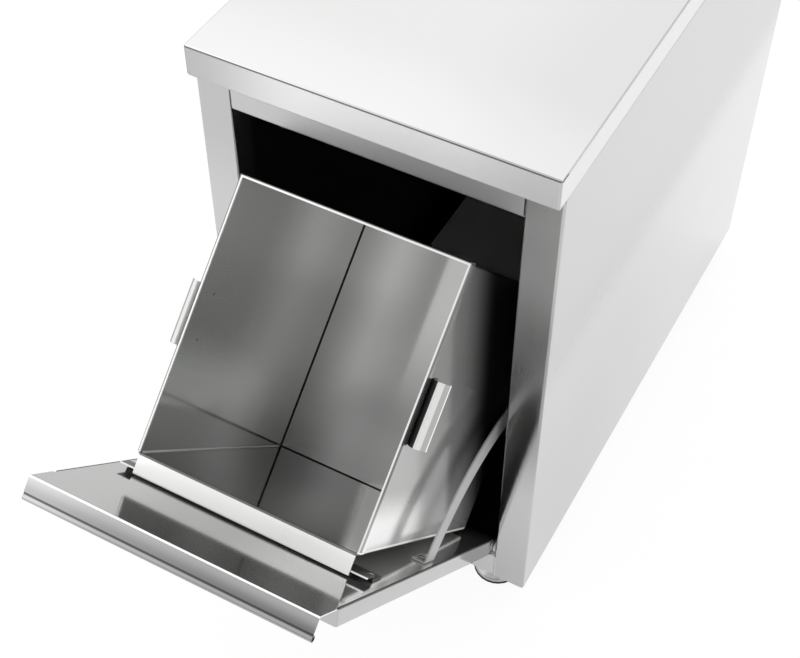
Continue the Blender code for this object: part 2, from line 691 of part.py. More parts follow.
def make_stay_arms(door):
    """Curved strips cut from sheet, with a foot on the skin and a stop tab that catches the post."""
    catch_y = POST_BACK + CLEARANCE
    centre_y, centre_z = open_door(-ARM_CENTRE_OUT, ARM_CENTRE_UP)
    tab_angle = DOOR_OPEN + asin((catch_y - centre_y) / ARM_INNER_RADIUS)
    foot_rise = SKIN_BEHIND_HINGE + CLEARANCE + ARM_CENTRE_OUT
    foot_angle = asin(foot_rise / ARM_OUTER_RADIUS)
    centre = Vector((ARM_X, -ARM_CENTRE_OUT, ARM_CENTRE_UP))
    bm = bmesh.new()
    radial = Vector((0, sin(tab_angle), cos(tab_angle)))
    tab_ends = [bm.verts.new(centre + radial * radius) for radius in (ARM_INNER_RADIUS, ARM_OUTER_RADIUS)]
    tab_edges = [bm.edges.new(tab_ends)]
    spun = bmesh.ops.spin(bm, geom=[*tab_ends, *tab_edges], cent=centre, axis=(1, 0, 0),
                          angle=tab_angle - foot_angle, steps=ARM_STEPS, use_merge=False, use_duplicate=False)
    foot_edges = [item for item in spun["geom_last"] if isinstance(item, bmesh.types.BMEdge)]
    inner_end = min(foot_edges[0].verts, key=lambda vert: (vert.co - centre).length)
    inner_reach = sqrt(ARM_INNER_RADIUS ** 2 - foot_rise ** 2)
    inner_end.co = centre + Vector((0, foot_rise, inner_reach))
    for edges, reach in ((foot_edges, -ARM_FOOT), (tab_edges, ARM_TAB)):
        grown = bmesh.ops.extrude_edge_only(bm, edges=edges)["geom"]
        verts = [item for item in grown if isinstance(item, bmesh.types.BMVert)]
        bmesh.ops.translate(bm, verts=verts, vec=(reach, 0, 0))
    bmesh.ops.recalc_face_normals(bm, faces=bm.faces)
    strip = max(bm.faces, key=lambda face: abs(face.normal.x))
    if strip.normal.x < 0:
        bmesh.ops.reverse_faces(bm, faces=bm.faces)
    bend_folds(bm, ARM_SHEET)
    right = finish_mesh(bm, "stay_arm_right")
    seats = screw_seats()[1]
    for name, side in SIDES.items():
        mesh = right if side > 0 else mirrored(right)
        arm = add_part("stay_arm_" + name, mesh, STEEL, door)
        give_thickness(arm, ARM_SHEET)
        combine(arm, screw_holes("arm_screw_hole_" + name, seats, door), "DIFFERENCE")
    for name, seat in zip(SIDES, seats):
        add_screw("arm_screw_" + name, seat, door)


def make_bin_buffers(door):
    """Rubber buffers on the skin that the bin's lower front leans on."""
    height = BIN_FOOT_GAP - 2 * CLEARANCE
    edge = BUFFER_RADIUS / 6
    profile = [
        (0, height),
        (BUFFER_RADIUS - edge, height),
        (BUFFER_RADIUS, height - edge),
        (BUFFER_RADIUS, 0),
        (0, 0),
    ]
    for name, side in SIDES.items():
        buffer = turned_part("bin_buffer_" + name, profile, False, RUBBER, door)
        buffer.location = (side * BUFFER_X, SKIN_BEHIND_HINGE + CLEARANCE,
                           BIN_ABOVE_HINGE + BUFFER_ABOVE_BIN_EDGE)
        buffer.rotation_euler = FACING_BACK


def add_bin_hems(body, bin_seat):
    """Fold the side rims and the back rim outward into a narrow hem."""
    inside = BIN_SHEET / 2
    low = BIN_HEIGHT - BIN_HEM_DROP
    outer = BIN_HALF + BIN_HEM
    side_corners = [(outer, low), (outer, BIN_HEIGHT), (BIN_HALF - inside, BIN_HEIGHT)]
    side_end = BIN_DEPTH - CLEARANCE
    bm = folded_strip(side_corners, BIN_BEND + CLEARANCE, side_end, along_y, BIN_BEND)
    right = finish_mesh(bm, "bin_hem_right")
    outer = BIN_DEPTH + BIN_HEM
    back_corners = [(outer, low), (outer, BIN_HEIGHT), (BIN_DEPTH - inside, BIN_HEIGHT)]
    back_half = BIN_HALF + BIN_HEM - CLEARANCE
    bm = folded_strip(back_corners, -back_half, back_half, along_x, BIN_BEND)
    back = finish_mesh(bm, "bin_hem_back")
    for name, mesh in (("left", mirrored(right)), ("right", right), ("back", back)):
        hem = add_cutter("bin_hem_" + name, mesh, bin_seat)
        give_thickness(hem, BIN_SHEET)
        combine(body, hem, "UNION")


def make_bin(bin_seat):
    """An open box, with its front edge folded over into the hook that hangs on the rail."""
    half = BIN_HALF
    bm = box((-half, 0, 0), (half, BIN_DEPTH, BIN_HEIGHT))
    bmesh.ops.delete(bm, geom=[face_towards(bm, (0, 0, 1))], context="FACES_ONLY")
    bend_folds(bm, BIN_BEND)
    body = add_part("bin_body", finish_mesh(bm, "bin_body"), BRIGHT_STEEL, bin_seat)
    give_thickness(body, BIN_SHEET)
    hook_corners = [
        (BIN_SHEET / 2, BIN_HEIGHT),
        (-BIN_LIP, BIN_HEIGHT),
        (-BIN_LIP, BIN_HEIGHT - BIN_HOOK),
    ]
    hook_half = half - BIN_BEND
    hook_bm = folded_strip(hook_corners, -hook_half, hook_half, along_x, BIN_BEND)
    hook = add_cutter("bin_hook", finish_mesh(hook_bm, "bin_hook"), bin_seat)
    give_thickness(hook, BIN_SHEET)
    combine(body, hook, "UNION")
    add_bin_hems(body, bin_seat)


def make_bin_handles(bin_seat):
    wall = BIN_HALF + CLEARANCE
    corners = [
        (wall + HANDLE_LIP_OUT, BIN_HEIGHT - HANDLE_LIP_DROP),
        (wall + HANDLE_RIDGE_OUT, BIN_HEIGHT - HANDLE_RIDGE_DROP),
        (wall, BIN_HEIGHT - HANDLE_FLANGE_HIGH),
        (wall, BIN_HEIGHT - HANDLE_FLANGE_LOW),
    ]
    middle = BIN_DEPTH / 2
    bm = folded_strip(corners, middle - HANDLE_LENGTH / 2, middle + HANDLE_LENGTH / 2, along_y, HANDLE_BEND)
    right = finish_mesh(bm, "bin_handle_right")
    for name, side in SIDES.items():
        mesh = right if side > 0 else mirrored(right)
        handle = add_part("bin_handle_" + name, mesh, BRIGHT_STEEL, bin_seat)
        give_thickness(handle, HANDLE_SHEET)


def main():
    root = make_empty("cabinet_origin", None, (0, -ORIGIN_Y, 0), 0)
    door = make_empty("door_hinge", root, (0, HINGE_Y, HINGE_Z), DOOR_OPEN)
    bin_seat = make_empty("bin_seat", door, (0, BIN_FRONT, BIN_ABOVE_HINGE), -BIN_LEAN)
    make_worktop(root)
    make_side_panels(root)
    make_back_panel(root)
    make_floor_panel(root)
    make_frame_rails(root)
    make_bumpers(root)
    make_feet(root)
    make_hinges(root, door)
    make_door_pan(door)
    make_door_skin(door)
    make_bin_rail(door)
    make_stay_arms(door)
    make_bin_buffers(door)
    make_bin(bin_seat)
    make_bin_handles(bin_seat)


main()
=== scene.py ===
"""Looks of a tilt-out waste bin cabinet: rounded sheet edges, steel finishes, fittings, stage and camera."""
import json
from math import radians, sqrt

import bmesh
import bpy
from mathutils import Matrix, Vector


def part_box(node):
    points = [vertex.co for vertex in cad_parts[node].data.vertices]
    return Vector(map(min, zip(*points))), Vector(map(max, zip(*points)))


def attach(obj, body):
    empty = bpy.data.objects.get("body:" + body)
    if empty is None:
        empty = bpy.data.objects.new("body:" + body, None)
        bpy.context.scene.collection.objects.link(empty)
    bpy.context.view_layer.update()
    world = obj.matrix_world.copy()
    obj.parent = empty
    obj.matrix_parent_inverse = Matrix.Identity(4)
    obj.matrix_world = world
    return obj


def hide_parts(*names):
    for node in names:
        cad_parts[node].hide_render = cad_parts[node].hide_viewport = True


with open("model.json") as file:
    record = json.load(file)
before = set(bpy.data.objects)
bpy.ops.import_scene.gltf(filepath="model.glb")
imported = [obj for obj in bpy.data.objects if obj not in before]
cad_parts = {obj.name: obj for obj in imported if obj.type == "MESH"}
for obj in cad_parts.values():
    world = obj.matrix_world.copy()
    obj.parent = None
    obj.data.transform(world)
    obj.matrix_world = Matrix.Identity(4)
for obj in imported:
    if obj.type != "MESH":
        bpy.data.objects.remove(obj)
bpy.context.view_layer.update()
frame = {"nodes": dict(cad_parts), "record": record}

bl_info = {
    "name": "Bin cabinet looks",
    "version": (1, 0, 0),
    "blender": (4, 5, 0),
    "location": "3D View > Sidebar > Bin Cabinet",
    "description": "Dresses the packed bin cabinet in steel and sets up its stage",
    "category": "Object",
}

BODIES = frame["record"]["behaviour"]["bodies"]
NODE_BODY = {node: body for body, nodes in BODIES.items() for node in nodes}
NODE_SLOT = {entry["node"]: entry["material_slot"] for entry in frame["record"]["subparts"]}
SIDES = {"left": -1, "right": 1}

# Mesh work on the sheets
MERGE_DISTANCE = 0.000002
FLAT_TURN = radians(0.5)
RIM_TURN = radians(60)
RIM_STEPS = 2
FLAT_WEIGHT = 100

# Places on the cabinet that tell its outer faces from its inner ones, and how deep the painted light at each
# mouth reaches before the painted shade inside
FRAME_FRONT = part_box("left_side_panel")[0][1]
POST_FACE = FRAME_FRONT + 0.0017
SIDE_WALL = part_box("right_side_panel")[1][0] - 0.0008
SIDE_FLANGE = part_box("right_side_panel")[1][1] - 0.0006
BACK_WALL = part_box("back_panel")[1][1] - 0.0005
LEFT_MOUTH = 0.001
RIGHT_MOUTH = 0.45

# Stretches over which painted light and shade make the cabinet's steel lighter or darker, and over which it
# turns duller
LEFT_POST_SHADE = (0.40, 0.50)
RIGHT_POST_FOOT = (0.03, 0.16)
RIGHT_POST_DARKENS = (0.16, 0.27)
RIGHT_POST_CLEARS = (0.38, 0.46)
RIGHT_SIDE_UP = (0.10, 0.45)
RIGHT_SIDE_BACK = (-0.05, 0.30)
RIGHT_SIDE_DULLS = (0.27, 0.36)
FLOOR_LEFT = -0.138
FLOOR_FRONT_SHADE = (0.02, 0.08)

# The worktop's folded edge, the bend above it with its painted dark line, and the stretches over which
# painted light and shade change both
WORKTOP_FOLD = 0.0022
EDGE_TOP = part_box("worktop")[1][2] - WORKTOP_FOLD
BEND_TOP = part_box("worktop")[1][2] - 0.45 * WORKTOP_FOLD
EDGE_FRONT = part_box("worktop")[0][1] + 0.0013
EDGE_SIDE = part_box("worktop")[1][0] - 0.0015
EDGE_LEFT_END = (-0.16, -0.05)
EDGE_RIGHT_END = (0.06, 0.16)
TOP_RIGHT = (0.0, 0.16)
TOP_FRONT = (-0.14, -0.04)

# Dressed welds
WELD_WIDTH = 0.0022
RAIL_WELD_THICKNESS = 0.0018
RAIL_WELD_PLACE = (0.0010, 0.0011)
RAIL_WELD_SHORTER = 0.001
TOP_WELD_HEIGHT = 0.0024
TOP_WELD_INSET = 0.00115
TOP_WELD_SHORTER = 0.002

# The open door leans at 45 degrees: rise is measured square to it, and reach up along it
DIAGONAL = sqrt(0.5)
DOOR_INWARD = Vector((0, DIAGONAL, DIAGONAL))
DOOR_UPWARD = Vector((0, -DIAGONAL, DIAGONAL))
SKIN_RISE = -0.0337
SKIN_UNDER = SKIN_RISE - 0.0014
SKIN_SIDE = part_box("door_inner_skin")[1][0] - 0.0002
LIP_REACH = 0.5716
LIP_ROOT = LIP_REACH - 0.005
LIP_BEND = (SKIN_RISE - 0.0015, SKIN_RISE - 0.0002)
LIP_STRETCH = 0.0045
STRETCH_BELOW = -0.0440
CREASE = (-0.0472, -0.0492)
CREASE_MIDDLE = sum(CREASE) / 2
CREASE_DEPTH = 0.0008
CUT_DISTANCE = 0.00001
SKIN_LEFT = (-0.09, -0.04)
SKIN_RIGHT = (0.0, 0.10)
LIP_LEFT = (-0.13, -0.04)
LIP_RIGHT = (0.02, 0.09)
PAN_TUCK = SKIN_RISE - 0.0015
RAIL_EDGE_REACH = 0.4620

# The bin leans with the door: height and depth are measured from its lower front corner
BIN_CORNER = (-0.1468, 0.1039)
BIN_UP = (-0.6685, 0.7437)
BIN_DEPTH = 0.2377
BIN_BEND = 0.003
HALF_SHEET = 0.0006
BIN_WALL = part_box("bin_body")[1][0] - 0.0023
WALL_FACE = BIN_WALL - 0.0011
HEM_SIDE = BIN_WALL + 0.0009
HEM_BACK = BIN_DEPTH + 0.0004
RIM_HEIGHT = 0.2858
FOLD_SIDE = BIN_WALL - 0.0020
FOLD_DEPTH = 0.0024
FOLD_HEIGHT = 0.2835
HOOK_START = -0.0008
HOOK_CREASE = (-0.0006, 0.0016)
SEAM_SIDE = BIN_WALL - 0.0018
SEAM_WIDTH = 0.0022
HANDLE_SHADOW = (0.0914, 0.1463)
HANDLE_SHADOW_HEIGHT = 0.2600
SPOT_SIDE = 0.1005
SPOT_DEPTHS = (0.0994, 0.1394)
SPOT_HEIGHT = 0.2616
SPOT_RADIUS = 0.0011
SPOT_FLATNESS = 0.25
SPOT_SEGMENTS = (16, 8)

# Stretches over which painted light and shade make the bin's steel lighter or darker, and over which it
# turns duller
BOTTOM_BACK = (0.06, 0.19)
BOTTOM_END = (0.14, 0.20)
BOTTOM_FRONT = (0.0, 0.085)
BOTTOM_SCUFF = (0.05, 0.12)
BOTTOM_RIGHT = (-0.06, -0.01)
BOTTOM_FRONT_RIGHT = (-0.08, -0.03)
FRONT_UP = (0.05, 0.285)
FRONT_RIGHT = (-0.04, 0.02)
LEFT_BACK = (0.02, 0.17)
LEFT_UP = (0.0, 0.14)
OUTSIDE_BACK = (0.02, 0.055)
OUTSIDE_UP = (0.14, 0.21)
OUTSIDE_MOUTH = (-0.168, -0.108)
BIN_LIP_LEFT_LIGHT = (0.0, 0.08)
GLINT_LEAN = 0.33
GLINT_LEFT = -0.0135
GLINT_WIDTH = (0.0, 0.012)

# Bands of painted light and shade across a bin handle, counted out from the middle of the cabinet
HANDLE_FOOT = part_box("bin_handle_right")[0][0]
HANDLE_FOLD = HANDLE_FOOT + 0.0019
HANDLE_FLANK = HANDLE_FOOT + 0.0027
HANDLE_RIDGE = HANDLE_FOOT + 0.0073
HANDLE_SLOPE = HANDLE_FOOT + 0.0123
HANDLE_CUT = HANDLE_FOOT + 0.0154
LEFT_RIDGE_WIDER = 0.0042
LEFT_RIDGE_END = HANDLE_FOOT + 0.0080
LEFT_OUTLINE = (HANDLE_FOOT + 0.0108, HANDLE_FOOT + 0.0125)

# Small fittings: the first words of their names, and how the heads are inset and raised
SMALL_FITTINGS = ("foot", "hinge", "door", "bin")
DRESSED = ("door_outer_pan", "door_inner_skin", "bin_rail", "bin_body", "bin_handle_left",
           "bin_handle_right")
BACKWARD = Vector((0, 1, 0))
FACING = 0.99
SCREW_SOCKET = (0.0016, -0.0006)
RIVET_MIDDLE = (0.0012, 0.0004)

# Noises as scale and detail, the axis that brush lines are drawn out along, and their bump
FINE_LINES = (2200.0, 3.0)
BROAD_LINES = (900.0, 2.0)
BRUSH_BANDS = (260.0, 2.0)
CLOUD = (9.0, 3.0)
RUBBER_GRAINS = (1800.0, 3.0)
GRAIN_STRETCH = {"x": (0.02, 1, 1), "y": (1, 0.02, 1), "z": (1, 1, 0.02)}
BRUSH_BUMP = (0.03, 0.0002)
RUBBER_BUMP = (0.15, 0.0002)

# Tones and blur of finishes that no one would change
# Tones of painted highlight and painted shade on the rail, the handles and the bin
HIGHLIGHT_STEEL = (0.95, 0.95, 0.94, 1)
RIDGE_LIGHT_STEEL = (0.70, 0.70, 0.69, 1)
SLOPE_SHADE_STEEL = (0.42, 0.42, 0.41, 1)
FOOT_GREY = (0.45, 0.45, 0.45)
RUBBER_BLACK = (0.02, 0.02, 0.02)
NYLON_WHITE = (0.6, 0.6, 0.58)
WHITE = (1, 1, 1, 1)
RAIL_ROUGHNESS = 0.4

# Bands of the sky by the direction's x, y and z, and where its bright back is aimed
SKY_BACK_AIM = (0.6, 0.8)
SKY_BACK = (0.62, 0.85)
SKY_RIGHT = (0.345, 0.42)
SKY_RIGHT_TOP = (0.68, 0.74)
SKY_FAR_RIGHT = (0.5, 0.62)
SKY_FAR_LEFT = (0.3, 0.5)
SKY_HIGH = (0.30, 0.50)
SKY_OVERHEAD = (0.81, 0.86)
SKY_AHEAD = (0.0, 0.2)
SENSOR_WIDTH = 36.0
CLIP_START = 0.01


class SteelLook(bpy.types.PropertyGroup):
    """Finish of the sheet metal."""

    tint: bpy.props.FloatVectorProperty(
        name="Steel tint", description="Reflection colour of the outer sheets", subtype="COLOR", size=3,
        min=0, max=1, default=(0.56, 0.565, 0.56))
    bin_tint: bpy.props.FloatVectorProperty(
        name="Bin tint", description="Reflection colour of the bin's sheets", subtype="COLOR", size=3,
        min=0, max=1, default=(0.57, 0.575, 0.565))
    # The lip's near-white tint is a painted highlight on the same steel as the bin.
    lip_highlight_tint: bpy.props.FloatVectorProperty(
        name="Lip tint", description="Reflection colour of the bin's lip", subtype="COLOR", size=3,
        min=0, max=1, default=(0.97, 0.97, 0.96))
    side_roughness: bpy.props.FloatProperty(
        name="Bin side roughness", description="Blur of reflections in the bin's left wall", min=0, max=1,
        default=0.10)
    # Painted shade deep inside the cabinet, on the inner faces.
    inside_shade_tint: bpy.props.FloatVectorProperty(
        name="Inside tint", description="Reflection colour deep inside the cabinet", subtype="COLOR", size=3,
        min=0, max=1, default=(0.01, 0.01, 0.01))
    floor_tint: bpy.props.FloatVectorProperty(
        name="Floor tint", description="Colour of the cabinet's floor", subtype="COLOR", size=3,
        min=0, max=1, default=(0.95, 0.95, 0.95))
    # Painted light on the inner faces next to the posts.
    mouth_light_tint: bpy.props.FloatVectorProperty(
        name="Mouth tint", description="Colour of the inner faces next to the posts", subtype="COLOR",
        size=3, min=0, max=1, default=(0.80, 0.80, 0.79))
    # How far in the painted light of the mouth reaches before the painted shade.
    mouth_depth: bpy.props.FloatProperty(
        name="Mouth depth", description="How far in from the posts the rails and back turn dark",
        subtype="DISTANCE", unit="LENGTH", min=0, default=0.12)
    roughness: bpy.props.FloatProperty(
        name="Roughness", description="Blur of reflections in the outer sheets", min=0, max=1, default=0.14)
    door_roughness: bpy.props.FloatProperty(
        name="Door roughness", description="Blur of reflections in the door", min=0, max=1, default=0.09)
    bin_roughness: bpy.props.FloatProperty(
        name="Bin roughness", description="Blur of reflections in the bin", min=0, max=1, default=0.06)
    edge_roughness: bpy.props.FloatProperty(
        name="Edge roughness", description="Blur of reflections in the worktop's folded edge", min=0, max=1,
        default=0.40)
    # The edge's near-white tint is painted light on the same steel as the top.
    edge_light_tint: bpy.props.FloatVectorProperty(
        name="Edge tint", description="Reflection colour of the worktop's folded edge", subtype="COLOR",
        size=3, min=0, max=1, default=(0.97, 0.975, 0.97))
    skin_tint: bpy.props.FloatVectorProperty(
        name="Skin tint", description="Reflection colour of the door's inner skin", subtype="COLOR", size=3,
        min=0, max=1, default=(0.42, 0.42, 0.415))
    grain: bpy.props.FloatProperty(
        name="Grain", description="How much the brushing varies the blur", min=0, max=1, default=0.10)
    rim: bpy.props.FloatProperty(
        name="Rim rounding", description="Width of the rounding on cut sheet edges", subtype="DISTANCE",
        unit="LENGTH", min=0, max=0.001, default=0.0002)


class StageSetup(bpy.types.PropertyGroup):
    """Camera and floor."""

    camera_place: bpy.props.FloatVectorProperty(
        name="Camera place", description="Where the camera stands", subtype="TRANSLATION", unit="LENGTH",
        size=3, default=(0.435505, -0.880540, 1.296093))
    camera_tilt: bpy.props.FloatProperty(
        name="Camera tilt", description="Turn up from looking straight down", subtype="ANGLE",
        unit="ROTATION", default=radians(41.518))
    camera_turn: bpy.props.FloatProperty(
        name="Camera turn", description="Turn to the left from looking at the front", subtype="ANGLE",
        unit="ROTATION", default=radians(28.756))
    camera_lens: bpy.props.FloatProperty(
        name="Lens", description="Focal length on a 36 mm wide sensor", unit="CAMERA", default=68.316)
    floor_colour: bpy.props.FloatVectorProperty(
        name="Floor colour", description="Colour of the plain floor", subtype="COLOR", size=3, min=0, max=1,
        default=(0.86, 0.86, 0.86))
    floor_size: bpy.props.FloatProperty(
        name="Floor size", description="Width of the floor", subtype="DISTANCE", unit="LENGTH", default=30.0)


class Value:
    """A shader value: a socket that takes part in Python expressions."""

    def __init__(self, shader, socket):
        self.shader = shader
        self.socket = socket

    def _math(self, operation, *values):
        sockets = dict(enumerate(values))
        return self.shader.node("ShaderNodeMath", {"operation": operation}, sockets)[0]

    def __add__(self, other):
        return self._math("ADD", self, other)

    def __radd__(self, other):
        return self._math("ADD", other, self)

    def __sub__(self, other):
        return self._math("SUBTRACT", self, other)

    def __rsub__(self, other):
        return self._math("SUBTRACT", other, self)

    def __mul__(self, other):
        return self._math("MULTIPLY", self, other)

    def __rmul__(self, other):
        return self._math("MULTIPLY", other, self)

    def __truediv__(self, other):
        return self._math("DIVIDE", self, other)

    def __rtruediv__(self, other):
        return self._math("DIVIDE", other, self)

    def __abs__(self):
        return self._math("ABSOLUTE", self)

    def __gt__(self, other):
        return self._math("GREATER_THAN", self, other)

    def __lt__(self, other):
        return self._math("LESS_THAN", self, other)

    def most(self, other):
        """The larger of two values."""
        return self._math("MAXIMUM", self, other)

    def least(self, other):
        """The smaller of two values."""
        return self._math("MINIMUM", self, other)

    def eased(self, low, high):
        """Rise smoothly from 0 at the low value to 1 at the high one."""
        settings = {"interpolation_type": "SMOOTHSTEP"}
        sockets = {"Value": self, "From Min": low, "From Max": high}
        return self.shader.node("ShaderNodeMapRange", settings, sockets)[0]


class Shader:
    """A node tree that is emptied and then written as expressions."""

    def __init__(self, owner):
        owner.use_nodes = True
        self.tree = owner.node_tree
        self.tree.nodes.clear()

    def node(self, kind, settings=None, sockets=None):
        """Add a node, set it up, then fill its sockets. Returns its outputs as values."""
        made = self.tree.nodes.new(kind)
        for name, setting in (settings or {}).items():
            setattr(made, name, setting)
        for name, value in (sockets or {}).items():
            socket = made.inputs[name]
            if isinstance(value, Value):
                self.tree.links.new(value.socket, socket)
            else:
                socket.default_value = value
        return [Value(self, output) for output in made.outputs if output.enabled]

    def place(self):
        """Object coordinates as a vector and as x, y and z."""
        coordinates = self.node("ShaderNodeTexCoord")[3]
        return coordinates, self.node("ShaderNodeSeparateXYZ", None, {0: coordinates})

    def rays(self):
        """Whether a ray comes from the camera, and whether it comes from a shiny surface."""
        outputs = self.node("ShaderNodeLightPath")
        return outputs[0], outputs[3]

    def mix(self, factor, first, second):
        """Mix two colours."""
        return self.node("ShaderNodeMix", {"data_type": "RGBA"}, {0: factor, 6: first, 7: second})[0]

    def uneven(self, level, tint, spread):
        """A tint that the level makes lighter and darker by a spread."""
        return self.mix(level, scaled(tint, 1 - spread), scaled(tint, 1 + spread))

    def scale(self, colour, amount):
        """Make a colour lighter or darker."""
        sockets = {0: colour, "Scale": amount}
        return self.node("ShaderNodeVectorMath", {"operation": "SCALE"}, sockets)[0]

    def noise(self, vector, scale, detail):
        """Cloudy noise about one half."""
        sockets = {"Vector": vector, "Scale": scale, "Detail": detail}
        return self.node("ShaderNodeTexNoise", None, sockets)[0]

    def lines(self, vector, along, scale, detail):
        """Brush lines: noise that is drawn out along one axis."""
        sockets = {"Vector": vector, "Scale": GRAIN_STRETCH[along]}
        return self.noise(self.node("ShaderNodeMapping", None, sockets)[0], scale, detail)

    def bump(self, height, strength, distance):
        """A normal that follows a height."""
        sockets = {"Height": height, "Strength": strength, "Distance": distance}
        return self.node("ShaderNodeBump", None, sockets)[0]

    def surface(self, **sockets):
        """End the tree in a Principled shader."""
        named = {name.replace("_", " "): value for name, value in sockets.items()}
        shader = self.node("ShaderNodeBsdfPrincipled", None, named)[0]
        self.node("ShaderNodeOutputMaterial", None, {"Surface": shader})


def colour4(colour):
    return (*colour, 1.0)


def scaled(colour, amount):
    return colour4(channel * amount for channel in colour)


def grey(level):
    return (level, level, level, 1.0)


def start_finish(name):
    """A new material, its shader, and the place on the piece as a vector and as x, y and z."""
    material = bpy.data.materials.new(name)
    shader = Shader(material)
    return material, shader, *shader.place()


def unevenness(lines, cloud, line_share, cloud_share):
    """A level about one half that brush lines and the sheet's broad unevenness move up and down."""
    return (lines - 0.5) * line_share + (cloud - 0.5) * cloud_share + 0.5


def brushed_steel(name, tint, roughness, grain, metal=1.0):
    """Fine parallel brush lines that vary the blur, with broad, faint unevenness of the sheet."""
    material, shader, vector, _ = start_finish(name)
    lines = shader.lines(vector, "x", *FINE_LINES)
    bands = shader.lines(vector, "x", *BRUSH_BANDS)
    cloud = shader.noise(vector, *CLOUD)
    level = unevenness(lines, cloud, 0.10, 0.06) + (bands - 0.5) * 0.08
    blur = (lines - 0.5) * grain + (cloud - 0.5) * 0.04 + roughness
    shader.surface(Base_Color=shader.uneven(level, tint, 0.14), Metallic=metal, Roughness=blur,
                   Normal=shader.bump(lines, *BRUSH_BUMP))
    return material


def worktop_steel(name, look):
    """Bright top, painted lighter towards the front and darker to the right; its folded edge is duller,
    painted darker towards both ends and on the sides, with a painted dark line along its bend.
    """
    material, shader, vector, (x, y, z) = start_finish(name)
    lines = shader.lines(vector, "y", *FINE_LINES)
    level = unevenness(lines, shader.noise(vector, *CLOUD), 0.10, 0.06)
    edge = z < EDGE_TOP
    bend = (1 - edge) * (z < BEND_TOP) * (y < FRAME_FRONT)
    # Painted shade on the edge: darker towards both ends, and on the sides, the left side most.
    ends = (1 - x.eased(*EDGE_LEFT_END)) * 0.36 + x.eased(*EDGE_RIGHT_END) * 0.27
    sides = (abs(x) > EDGE_SIDE) * 0.10 + (x < -EDGE_SIDE) * 0.18
    edge_shade = 0.89 - ends * (y < EDGE_FRONT) - sides
    edge_colour = shader.scale(shader.uneven(level, look.edge_light_tint, 0.05), edge_shade)
    # Painted light and shade on the top: lighter towards the front, darker to the right.
    top_shade = 1 - x.eased(*TOP_RIGHT) * 0.08 + (1 - y.eased(*TOP_FRONT)) * 0.09
    top_colour = shader.scale(shader.uneven(level, look.tint, 0.14), top_shade)
    # Painted dark line along the bend above the edge.
    colour = shader.scale(shader.mix(edge, top_colour, edge_colour), 1 - bend * 0.7)
    blur = (lines - 0.5) * look.grain + look.roughness + edge * (look.edge_roughness - look.roughness)
    shader.surface(Base_Color=colour, Metallic=1 - edge * 0.6, Roughness=blur,
                   Normal=shader.bump(lines, *BRUSH_BUMP))
    return material


def cabinet_steel(name, look, along, inner_face, roughness, mouth, shade=None):
    """Brushed outside; the inner face is painted from light at the posts to dark shade at the end of the
    mouth.
    """
    material, shader, vector, place = start_finish(name)
    lines = shader.lines(vector, along, *FINE_LINES)
    level = unevenness(lines, shader.noise(vector, *CLOUD), 0.10, 0.08)
    outer = shader.uneven(level, look.tint, 0.14)
    if shade:
        outer = shader.scale(outer, shade(*place))
    depth = ((place[1] - FRAME_FRONT) / mouth).least(1.0).most(0.0)
    # Painted light at the mouth, fading to painted shade deeper in.
    inner = shader.mix(depth, colour4(look.mouth_light_tint), colour4(look.inside_shade_tint))
    inside = inner_face(*place)
    if callable(roughness):
        roughness = roughness(*place)
    blur = (lines - 0.5) * look.grain + roughness + inside * 0.35
    shader.surface(Base_Color=shader.mix(inside, outer, inner), Metallic=1 - inside, Roughness=blur,
                   Normal=shader.bump(lines, *BRUSH_BUMP))
    return material


def side_inner_face(x, y, z):
    """Inner face of the side panels, between the post and the back flange."""
    return (abs(x) < SIDE_WALL) * (y > POST_FACE) * (y < SIDE_FLANGE)


def rail_inner_face(x, y, z):
    """All of a rail that lies behind its front face."""
    return y > POST_FACE


def back_inner_face(x, y, z):
    """Front of the back panel."""
    return y < BACK_WALL


def left_side_shade(x, y, z):
    """The left post darkens towards the worktop."""
    return 1 - z.eased(*LEFT_POST_SHADE) * (y < POST_FACE) * 0.13


def right_side_shade(x, y, z):
    """Painted shade in a band on the right post, behind the open door, and painted light on the upper and
    back part of the side.
    """
    band = z.eased(*RIGHT_POST_DARKENS) * 0.34 - z.eased(*RIGHT_POST_CLEARS) * 0.28
    post = (band + (1 - z.eased(*RIGHT_POST_FOOT)) * 0.12 + 0.06) * (y < POST_FACE)
    low_front = (1 - z.eased(*RIGHT_SIDE_UP)) * (1 - y.eased(*RIGHT_SIDE_BACK))
    side = (0.10 - low_front * 0.2) * (y > POST_FACE)
    return 1 - post + side


def right_side_roughness(x, y, z):
    """The right side's steel is duller towards the top."""
    return z.eased(*RIGHT_SIDE_DULLS) * 0.2 + 0.10


def floor_look(name, look):
    """Dull floor of the cabinet, whose left edge and front lie in the dark."""
    material, shader, vector, (x, y, _) = start_finish(name)
    lit = shader.uneven(shader.noise(vector, *CLOUD), look.floor_tint, 0.1)
    colour = shader.mix((x > FLOOR_LEFT) * y.eased(*FLOOR_FRONT_SHADE), grey(0.002), lit)
    shader.surface(Base_Color=colour, Metallic=0.0, Roughness=0.6)
    return material


def door_rise(y, z):
    """How far a place lies inwards, square to the open door."""
    return (y + z) * DIAGONAL


def door_reach(y, z):
    """How far a place lies up along the open door."""
    return (z - y) * DIAGONAL


